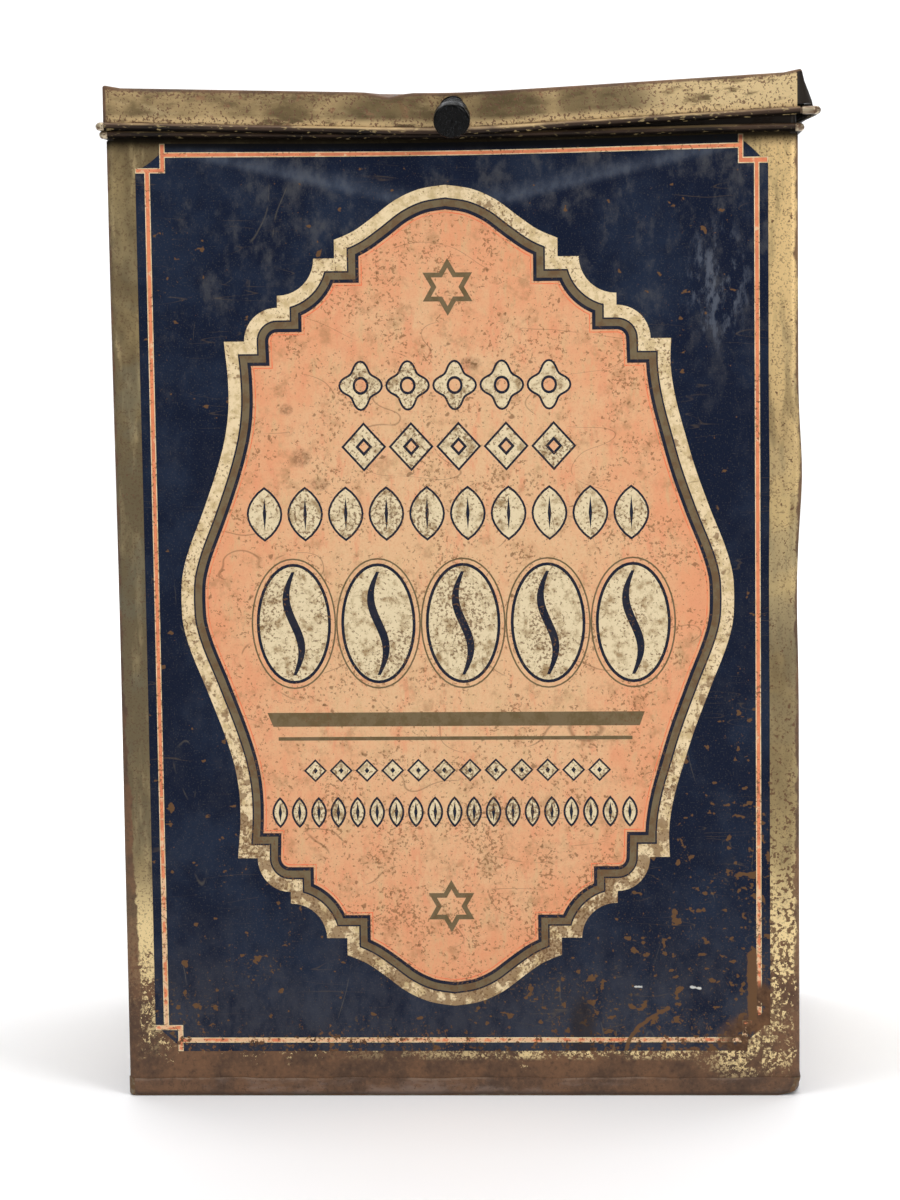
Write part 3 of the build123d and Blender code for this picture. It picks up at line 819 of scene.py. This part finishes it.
def beyond(point, half_x, half_y, radius):
    """How far a point lies outside a rounded rectangle in plan, negative inside."""
    dx = abs(point.x) - half_x + radius
    dy = abs(point.y) - half_y + radius
    corner = sqrt(max(dx, 0) ** 2 + max(dy, 0) ** 2)
    return corner + min(max(dx, dy), 0) - radius


def layer_look(half_x, half_y, radius):
    """Material 0 on a sheet's outside, 1 on its wired edge and 2 inside, by how far out it is."""

    def look(middle, normal):
        out = beyond(middle, half_x, half_y, radius)
        if out > 0.02:
            return 1
        return 2 if out < -0.1 else 0

    return look


body_looks = [side_gold, bead, bare]
wrapped_look = layer_look(body_x, face_y, 4.0)
flat_look = layer_look(face_x, 2 * face_y, 0.1)
for node, steps, look in (
    ("front_sheet", (x_cuts, [], wall_cuts), wrapped_look),
    ("back_sheet", (cuts(-165, 165, 12), [], wall_cuts), wrapped_look),
    ("left_sheet", ([], y_cuts, wall_cuts), flat_look),
    ("right_sheet", ([], y_cuts, wall_cuts), flat_look),
):
    dented(node, f"{node}_used", body_looks, "bin", steps, look)

pan_inner_x = box_mm("bottom_pan")[1].x - sheet / 2
pan_inner_y = box_mm("bottom_pan")[1].y - sheet / 2


def pan_look_at(middle, normal):
    """Material 1 inside the pan and 0 on the rest of it."""
    inside = abs(middle.x) < pan_inner_x and abs(middle.y) < pan_inner_y
    return 1 if inside and middle.z > sheet / 2 else 0


pan_cuts = (cuts(-165, 165, 6), cuts(-130, 130, 6), [2, 4, 6, 7.5])
dented(
    "bottom_pan", "bottom_pan_used", [pan_look, bare], "bin", pan_cuts, pan_look_at
)
neck_cuts = (cuts(-165, 165, 10), [], [rim_z])
dented("neck_front", "neck_front_used", [bare], "bin", neck_cuts)
wire_cuts = (cuts(-165, 165, 12), [], [])
dented("body_rim_wire", "body_rim_wire_used", [iron_look], "bin", wire_cuts)
dented("body_rim_solder", "body_rim_solder_used", [solder], "bin")


fold_radius = 2.5  # outer radius of the lid's folded corners
fold_z = lid_top - 1.3  # the lid's top fold starts here


def open_split(cage):
    """Takes out the lid's front right corner below its top fold, and closes the cut edges."""
    flat_x = skirt_x - fold_radius
    flat_y = skirt_y - fold_radius
    gone = []
    for face in cage.faces:
        x, y, z = face.calc_center_median()
        in_corner = flat_x + 0.01 < x < skirt_x + 0.1 and -skirt_y - 0.1 < y < -flat_y - 0.01
        if in_corner and z < fold_z:
            gone.append(face)
    bmesh.ops.delete(cage, geom=gone, context="FACES")
    open_edges = [edge for edge in cage.edges if edge.is_boundary]
    open_verts = {vert for edge in open_edges for vert in edge.verts}
    centre = Vector((flat_x, -flat_y))
    between_faces = fold_radius - sheet / 2
    outer = [v for v in open_verts if (v.co.xy - centre).length > between_faces]
    inner = [v for v in open_verts if (v.co.xy - centre).length <= between_faces]
    partner = {v: min(inner, key=lambda w: (w.co - v.co).length) for v in outer} if inner else {}
    for first, second in (edge.verts for edge in open_edges):
        if first in partner and second in partner:
            corners = [first, second, partner[second], partner[first]]
            if len(set(corners)) == 4 and cage.faces.get(corners) is None:
                cage.faces.new(corners)


def lid_look(middle, normal):
    """As layer_look, with the underside of the lid's top as inside too."""
    out = beyond(middle, skirt_x, skirt_y, fold_radius)
    if out > 0.02:
        return 1
    under = normal.z < -0.3 and middle.z > lid_top - 2
    return 2 if under or (out < -0.1 and middle.z < fold_z) else 0


lid_cuts = (cuts(-169, 169, 6), cuts(-134, 134, 16), cuts(lid_z, lid_top - 1.2, 4))
lid_looks = [lid_gold, lid_bead, bare]
dented(
    "lid_sheet", "lid_sheet_used", lid_looks, "lid", lid_cuts, lid_look, open_split
)
dented("lid_corner_tabs", "lid_corner_tabs_used", [bare], "lid")
lid_wire_cuts = (cuts(-165, 165, 10), cuts(-130, 130, 12), [])
dented("lid_rim_wire", "lid_rim_wire_used", [iron_look], "lid", lid_wire_cuts)
dented("lid_rim_solder", "lid_rim_solder_used", [solder], "lid")
for node in ("knob_bolt", "knob_washer"):
    dented(node, f"{node}_used", [iron_look], "lid")
dented("knob", "knob_turned", [wood], "lid")

for node, look in (
    ("neck_back", bare_plain), ("neck_splices", bare_plain), ("hinge_rivets", iron_plain),
    ("hinge_strap_left", iron_plain), ("hinge_strap_right", iron_plain),
):
    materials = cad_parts[node].data.materials
    materials.clear()
    materials.append(look)


# ---- printed front: outlines in x and height ----
def arc(centre, radius, start, end, steps):
    """Points along an arc, angles in degrees, both ends included."""
    angles = [radians(start + (end - start) * i / steps) for i in range(steps + 1)]
    return [(centre[0] + radius * cos(a), centre[1] + radius * sin(a)) for a in angles]


def curve(points, steps):
    """Smooth curve through points (Catmull-Rom), both ends included."""
    ends = [points[0], *points, points[-1]]
    out = []
    for i in range(1, len(ends) - 2):
        p0, p1, p2, p3 = (Vector(ends[i + k]) for k in (-1, 0, 1, 2))
        for step in range(steps):
            t = step / steps
            a = 2 * p1
            b = (p2 - p0) * t
            c = (2 * p0 - 5 * p1 + 4 * p2 - p3) * t * t
            d = (3 * p1 - p0 - 3 * p2 + p3) * t * t * t
            out.append(tuple((a + b + c + d) / 2))
    return [*out, tuple(points[-1])]


def runs_left(outline):
    """True for a closed outline that runs counter-clockwise."""
    pairs = zip(outline, outline[1:] + outline[:1])
    return sum(ax * bz - bx * az for (ax, az), (bx, bz) in pairs) > 0


def inset(outline, distance):
    """Closed outline moved inwards (outwards if negative), corners mitred."""
    turn = 1 if runs_left(outline) else -1
    moved = []
    for i, here in enumerate(outline):
        before = Vector(outline[i - 1])
        after = Vector(outline[(i + 1) % len(outline)])
        first = (Vector(here) - before).normalized()
        second = (after - Vector(here)).normalized()
        n1 = Vector((-first.y, first.x)) * turn
        n2 = Vector((-second.y, second.x)) * turn
        mitre = (n1 + n2) / max(1 + n1.dot(n2), 0.3)
        moved.append(tuple(Vector(here) + mitre * distance))
    return moved


def moved(outline, x, z):
    return [(px + x, pz + z) for px, pz in outline]


def rectangle(left, low, right, high):
    return [(left, low), (right, low), (right, high), (left, high)]


def beside(line, distance):
    """Open line moved to its right-hand side."""
    out = []
    for i, (x, z) in enumerate(line):
        before = Vector(line[max(i - 1, 0)])
        along = (Vector(line[min(i + 1, len(line) - 1)]) - before).normalized()
        out.append((x + along.y * distance, z - along.x * distance))
    return out


def cut_at(line, axis, limit):
    """Open line up to the place where it passes a limit along x (0) or height (1)."""
    out = [line[0]]
    for before, after in zip(line, line[1:]):
        if min(before[axis], after[axis]) <= limit <= max(before[axis], after[axis]):
            share = (limit - before[axis]) / (after[axis] - before[axis])
            out.append(tuple(a + (b - a) * share for a, b in zip(before, after)))
            return out
        out.append(after)
    return out


# The cartouche: one quarter, from its top to its widest place, about its middle.
cartouche_middle = (-1.8, 250.4)
ogee = [(0, 204.5), (13, 202.4), (25, 197.0), (36, 188.8), (45.5, 182.2), (55.2, 178.0)]
bite_x, bite_z, bite_radius = 83.7, 168.9, 18.1
lobe_x, lobe_z, lobe_radius = 84.2, 128.4, 16.5
step_x = 84.0
flank = [
    (110.8, 128.4), (110, 112), (111.8, 93), (117.3, 70), (125.6, 46), (133.5, 26), (137.3, 12),
    (138, 0),
]


def quarter(depth):
    """From the top to the widest place, moved inwards by a depth."""
    top = cut_at(beside(curve(ogee, 4), depth), 0, ogee[-1][0] - depth)
    top = [(0, ogee[0][1] - depth)] + [p for p in top if p[0] > 0.5]
    side = beside(curve(flank, 4), depth)
    side = cut_at(side[::-1], 1, lobe_z - depth)[::-1]
    reach = bite_radius + depth
    start = 180 + degrees(asin(depth / reach))
    end = 360 - degrees(acos((step_x - bite_x - depth) / reach))
    return [
        *top,
        (ogee[-1][0] - depth, bite_z - depth),
        *arc((bite_x, bite_z), reach, start, end, 10),
        (step_x - depth, lobe_z + lobe_radius - depth),
        *arc((lobe_x, lobe_z), lobe_radius - depth, 90, 0, 10),
        (lobe_x + lobe_radius - depth, lobe_z - depth),
        *side[:-1],
        (flank[-1][0] - depth, 0),
    ]


def settled(x, z):
    """The print is not quite even: its waist lies to the right and its lower half is narrower."""
    lean = 1.7 - 3.3 * smooth(75, 128, abs(z))
    narrow = 1 - 0.019 * smooth(40, 118, -z)
    return x * narrow + lean, z - 1.8 * bell(z, -150, 32)


def cartouche(depth):
    """The whole outline, clockwise from the top, moved inwards by a depth."""
    upper = quarter(depth)
    half = upper[:-1] + [(x, -z) for x, z in reversed(upper)]
    left = [(-x, z) for x, z in reversed(half[1:-1])]
    return moved([settled(x, z) for x, z in half + left], *cartouche_middle)


def ellipse(x, z, half_wide, half_high, steps=28):
    angles = [2 * pi * i / steps for i in range(steps)]
    return [(x + half_wide * cos(a), z + half_high * sin(a)) for a in angles]


def lozenge(x, z, half_wide, half_high):
    return [(x + half_wide, z), (x, z + half_high), (x - half_wide, z), (x, z - half_high)]


def leaf(x, z, half_wide, half_high, steps=10):
    """Pointed oval, two arcs from tip to tip."""
    right = []
    for i in range(steps):
        share = i / steps
        right.append((half_wide * sin(pi * share) ** 0.8, -half_high + 2 * half_high * share))
    left = [(-px, -pz) for px, pz in right]
    return moved(right + left, x, z)


def rosette(x, z, half_wide, half_high, petals, steps=48):
    """Round outline with petals."""
    out = []
    for i in range(steps):
        a = 2 * pi * i / steps
        reach = 0.84 + 0.16 * cos(petals * a)
        out.append((x + half_wide * reach * sin(a), z + half_high * reach * cos(a)))
    return out


def star(x, z, radius):
    """Six-pointed star."""
    out = []
    for i in range(12):
        reach = radius if i % 2 == 0 else radius / sqrt(3)
        out.append((x + reach * sin(pi * i / 6), z + reach * cos(pi * i / 6)))
    return out


def bean_split(x, z, half_wide, half_high, half_line, steps=14):
    """S-shaped groove of a coffee bean, as a closed strip that tapers to its ends."""
    right, left = [], []
    for i in range(steps + 1):
        share = i / steps
        up = (2 * share - 1) * half_high
        bend = half_wide * sin(2 * pi * share)
        line = half_line * (0.35 + 0.65 * sin(pi * share))
        right.append((x + bend + line, z + up))
        left.append((x + bend - line, z + up))
    return right + left[::-1]


# Each entry paints an outline with an ink, later ones over earlier ones.
painting = []
tilt_foot, tilt_full = 463.5, 469.5  # heights between which the top border's tilt comes in


def fine(outline, step=5.0):
    """Outline with points added, so that no side is much longer than a step."""
    out = []
    for (x1, z1), (x2, z2) in zip(outline, outline[1:] + outline[:1]):
        count = max(int(hypot(x2 - x1, z2 - z1) / step), 1)
        for i in range(count):
            out.append((x1 + (x2 - x1) * i / count, z1 + (z2 - z1) * i / count))
    return out


def top_tilt(x, z):
    """The print's top border is tilted: it rises 1 mm in 150 mm towards the right."""
    return x / 150 * smooth(tilt_foot, tilt_full, z)


def paint_shape(ink_name, outline):
    """Adds an outline to the painting; with no ink it leaves the bare sheet."""
    closed = fine(outline if runs_left(outline) else outline[::-1])
    painting.append((ink_name, [(x, z + top_tilt(x, z)) for x, z in closed]))


field = (-156.0, 22.8, 155.3, 477.4)
left, low, right, high = field
line_wide, line_edge = 2.6, 0.42
# How far each corner is stepped in, sideways and upwards.
steps_in = {
    (-1, 1): (13.0, 14.2), (1, 1): (13.4, 12.2), (-1, -1): (12.8, 12.0), (1, -1): (12.8, 14.2),
}
margin = 4.3  # pinstripe's distance from the field's edge
triangle_wide, triangle_high = 8.6, 7.6
paint_shape("navy", rectangle(*field))
corner_squares = []
for sx, edge_x in ((-1, left), (1, right)):
    for sz, edge_z in ((-1, low), (1, high)):
        step_wide, step_high = steps_in[sx, sz]
        inner_x, inner_z = edge_x - sx * step_wide, edge_z - sz * step_high
        corner_squares.append((sx, sz, edge_x, edge_z, inner_x, inner_z))
        out_x, out_z = edge_x + sx, edge_z + sz
        cut_off = [(inner_x, inner_z), (out_x, inner_z), (out_x, out_z), (inner_x, out_z)]
        paint_shape(None, cut_off)


def stripe(x1, z1, x2, z2, half):
    """Straight line of the border as a rectangle, also longer by half its width at each end."""
    return rectangle(min(x1, x2) - half, min(z1, z2) - half, max(x1, x2) + half, max(z1, z2) + half)


stripes = []
half = line_wide / 2
stripe_in = margin + half
for sx, x in ((-1, left + stripe_in), (1, right - stripe_in)):
    stripes.append((x, low + steps_in[sx, -1][1], x, high - steps_in[sx, 1][1]))
for sz, z in ((-1, low + stripe_in), (1, high - stripe_in)):
    stripes.append((left + steps_in[-1, sz][0], z, right - steps_in[1, sz][0], z))
for sx, sz, edge_x, edge_z, inner_x, inner_z in corner_squares:
    stripes.append((inner_x, inner_z, edge_x - sx * half, inner_z))
    stripes.append((inner_x, inner_z, inner_x, edge_z - sz * half))
    corner_x, corner_z = inner_x + sx * half, inner_z + sz * half
    across = (corner_x + sx * triangle_wide, corner_z)
    upwards = (corner_x, corner_z + sz * triangle_high)
    paint_shape("navy", [(corner_x, corner_z), across, upwards])
for ends in stripes:
    paint_shape("cream_line", stripe(*ends, half))
for ends in stripes:
    paint_shape("orange", stripe(*ends, half - line_edge))

bands = (
    ("cream", 0.0), ("navy_line", 6.2), ("olive", 7.0), ("navy_line", 10.4),
    ("salmon", 12.1), ("coral", 13.0), ("salmon", 13.6),
)
for name, depth in bands:
    paint_shape(name, cartouche(depth))

outline_wide = 1.05


def row(shape, left, right, low, high, count, fill=0.88):
    """Places for count shapes side by side: middle x, middle height, half width, half height."""
    pitch = (right - left) / count
    for i in range(count):
        shape(left + pitch * (i + 0.5), (low + high) / 2, pitch * fill / 2, (high - low) / 2)


def outlined(make, x, z, half_wide, half_high, line=outline_wide):
    paint_shape("navy_line", make(x, z, half_wide, half_high))
    paint_shape("cream_shape", inset(make(x, z, half_wide, half_high), line))


def big_bean(x, z, half_wide, half_high):
    paint_shape("khaki", inset(ellipse(x, z, half_wide, half_high, 44), -2.6))
    paint_shape("salmon", inset(ellipse(x, z, half_wide, half_high, 44), -1.8))
    outlined(lambda *a: ellipse(*a, steps=44), x, z, half_wide, half_high, 1.5)
    paint_shape("navy_line", bean_split(x, z, half_wide * 0.2, half_high * 0.86, 2.2, 22))


def blossom(x, z, half_wide, half_high):
    outlined(lambda a, b, c, d: rosette(a, b, c, d, 4), x, z, half_wide, half_high)
    paint_shape("navy_line", ellipse(x, z, half_wide * 0.36, half_high * 0.36, 20))
    paint_shape("salmon", ellipse(x, z, half_wide * 0.25, half_high * 0.25, 20))


def diamond(x, z, half_wide, half_high):
    outlined(lozenge, x, z, half_wide, half_high)
    paint_shape("navy_line", lozenge(x, z, half_wide * 0.38, half_high * 0.38))
    paint_shape("salmon", lozenge(x, z, half_wide * 0.22, half_high * 0.22))


def rib_leaf(x, z, half_wide, half_high):
    outlined(leaf, x, z, half_wide, half_high)
    paint_shape("navy_line", lozenge(x, z, 0.9, half_high * 0.62))


def small_lozenge(x, z, half_wide, half_high):
    outlined(lozenge, x, z, half_wide, half_high, 0.9)
    paint_shape("navy_line", lozenge(x, z, 1.2, 1.5))


row(blossom, -58.2, 58.7, 344, 369, 5, 0.95)
row(diamond, -57.2, 60.9, 314, 338.5, 5, 0.95)
row(rib_leaf, -105.7, 97.4, 279.5, 306.8, 10)
row(big_bean, -103, 109, 208.5, 268.5, 5, 0.88)
paint_shape("khaki", [(-95.9, 194), (93.2, 194), (90.7, 187), (-93, 187)][::-1])
paint_shape("khaki", rectangle(-90.5, 180, 87, 181.8))
row(small_lozenge, -78.7, 76.9, 159, 170.7, 12, 0.9)
row(rib_leaf, -95.2, 90.3, 136, 151.7, 19, 0.82)
for x, z, radius in ((-2.7, 404.8, 14.2), (-4.6, 96.2, 13.3)):
    paint_shape("khaki", star(x, z, radius))
    paint_shape("salmon", inset(star(x, z, radius), 2.4))


# ---- ink films ----
def ink_films():
    """Cuts the whole front into one flat mesh, and gives each ink its own film."""
    points, outlines = [], []
    for ink_name, outline in painting:
        start = len(points)
        points += [Vector(p) for p in outline]
        outlines.append(list(range(start, len(points))))
    grid = 7.0
    columns = int((right - left) / grid)
    rows = int((high - low) / grid)
    for i in range(1, columns):
        for j in range(1, rows):
            x = left + (right - left) * i / columns
            z = low + (high - low) * j / rows
            points.append(Vector((x + 0.013, z + 0.017)))
    verts, _, faces, _, _, origins = delaunay_2d_cdt(points, [], outlines, 0, 1e-4)
    by_ink = {}
    for face, sources in zip(faces, origins):
        if sources:
            ink_name = painting[max(sources)][0]
            if ink_name:
                by_ink.setdefault(ink_name, []).append(face)
    return verts, by_ink


def front_point(x, z):
    """Where a point of the print lies on the dented front sheet."""
    return bin_warp((x, -face_y, z))


def front_normal(x, z):
    """Direction out of the dented front there."""
    step = 0.5
    across = front_point(x + step, z) - front_point(x - step, z)
    up = front_point(x, z + step) - front_point(x, z - step)
    return across.cross(up).normalized()


CREAM = (226, 204, 164)
TAN = (196, 172, 128)
# Each ink's piece and look. The order is that of the pieces.
inks = {
    "navy": ("print_field", navy_ink("ink_navy_field")),
    "navy_line": (
        "print_outlines", ink("ink_navy_line", (26, 31, 46), (40, 40, 50), 0.60, 0.56)
    ),
    "cream": (
        "print_frame",
        ink("ink_cream_frame", CREAM, TAN, 0.57, 0.52, (132, 104, 74), fade_top=370),
    ),
    "cream_shape": (
        "print_ornament",
        ink(
            "ink_cream_ornament", (220, 202, 165), (154, 128, 92), 0.54, 0.52,
            cloudy=(0.46, 0.68),
        ),
    ),
    "cream_line": ("print_border_edge", ink("ink_cream_line", CREAM, TAN, 0.57, 0.54)),
    "orange": (
        "print_border",
        ink("ink_orange", (222, 134, 94), (206, 122, 88), 0.59, 0.55, (224, 190, 150)),
    ),
    "coral": (
        "print_panel_line", ink("ink_coral", (226, 122, 84), (222, 142, 102), 0.59, 0.56)
    ),
    "olive": (
        "print_frame_olive", ink("ink_olive", (112, 98, 74), (104, 82, 58), 0.62, 0.56)
    ),
    "salmon": ("print_panel", salmon_panel("ink_salmon")),
    "khaki": ("print_bars", ink("ink_khaki", (114, 98, 72), (102, 86, 58), 0.60, 0.57)),
}
film_verts, film_faces = ink_films()
for key, (name, material) in inks.items():
    faces = film_faces[key]
    used = sorted({v for face in faces for v in face})
    index = {v: i for i, v in enumerate(used)}
    normals = [front_normal(*film_verts[v]) for v in used]
    places = [front_point(*film_verts[v]) + n * film for v, n in zip(used, normals)]
    mesh = bpy.data.meshes.new(name)
    mesh.from_pydata([p * MM for p in places], [], [[index[v] for v in f] for f in faces])
    mesh.update()
    rest = mesh.attributes.new("rest", "FLOAT_VECTOR", "POINT")
    for item, v in zip(rest.data, used):
        item.vector = (film_verts[v].x, -face_y, film_verts[v].y)
    mesh.shade_smooth()
    mesh.materials.append(material)
    mesh.normals_split_custom_set_from_vertices([tuple(n) for n in normals])
    piece = add_object(name, mesh)
    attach(piece, "bin")


# ---- stage, light and camera ----
def cyclorama():
    """Pale floor that curves up into a wall far behind."""
    half, front, back, curve_radius, top = 20000, -20000, 4200, 900, 6000
    profile = [(front, 0.0)]
    profile += [
        (back + curve_radius * sin(a), curve_radius * (1 - cos(a)))
        for a in (radians(6 * i) for i in range(16))
    ]
    profile.append((back + curve_radius, top))
    verts = [(x, y, z) for y, z in profile for x in (-half, half)]
    faces = [(2 * i, 2 * i + 1, 2 * i + 3, 2 * i + 2) for i in range(len(profile) - 1)]
    mesh = bpy.data.meshes.new("studio_floor")
    mesh.from_pydata([Vector(v) * MM for v in verts], [], faces)
    mesh.shade_smooth()
    paint = Paint("pale_floor")
    paint.tone = (246, 246, 247)
    mesh.materials.append(paint.finish(0.6))
    floor = add_object("studio_floor", mesh)


cyclorama()


def soft_light(name, place, target, width, height, power):
    light = bpy.data.lights.new(name, "AREA")
    light.shape = "RECTANGLE"
    light.size = width
    light.size_y = height
    light.energy = power
    lamp = add_object(name, light)
    lamp.location = place
    lamp.rotation_euler = (Vector(target) - Vector(place)).to_track_quat("-Z", "Y").to_euler()


soft_light("key_right", (2.1, -2.1, 1.6), (0, 0, 0.28), 1.2, 2.0, 45)
soft_light("fill_left", (-2.1, -2.0, 1.7), (0, 0, 0.28), 1.2, 2.0, 22)
soft_light("top", (0.0, -0.5, 2.8), (0, 0, 0.3), 2.4, 2.0, 50)
soft_light("backdrop", (0.0, 1.8, 3.2), (0, 3.6, 0.6), 4.0, 2.0, 150)

world = bpy.data.worlds.new("studio")
world.use_nodes = True
sky = world.node_tree.nodes["Background"].inputs
sky["Color"].default_value = (0.97, 0.98, 1.0, 1.0)
sky["Strength"].default_value = 0.2
bpy.context.scene.world = world
bpy.context.scene.view_settings.view_transform = "Standard"

# Camera place and turn: yaw, downward pitch and roll in degrees, the lens in millimetres.
camera_place = Vector((96.7, -1914.5, 408.8))
yaw, pitch, roll = radians(-3.22), radians(5.08), radians(-0.74)
forward = Vector((sin(yaw) * cos(pitch), cos(yaw) * cos(pitch), -sin(pitch)))
level = Vector((cos(yaw), -sin(yaw), 0.0))
up = level.cross(forward)
camera_right = cos(roll) * level + sin(roll) * up
camera_up = -sin(roll) * level + cos(roll) * up
camera_data = bpy.data.cameras.new("camera")
camera_data.lens = 108
camera_data.sensor_width = 36
camera = add_object("camera", camera_data)
turn = Matrix((camera_right, camera_up, -forward)).transposed().to_4x4()
camera.matrix_world = Matrix.Translation(camera_place * MM) @ turn
bpy.context.scene.camera = camera
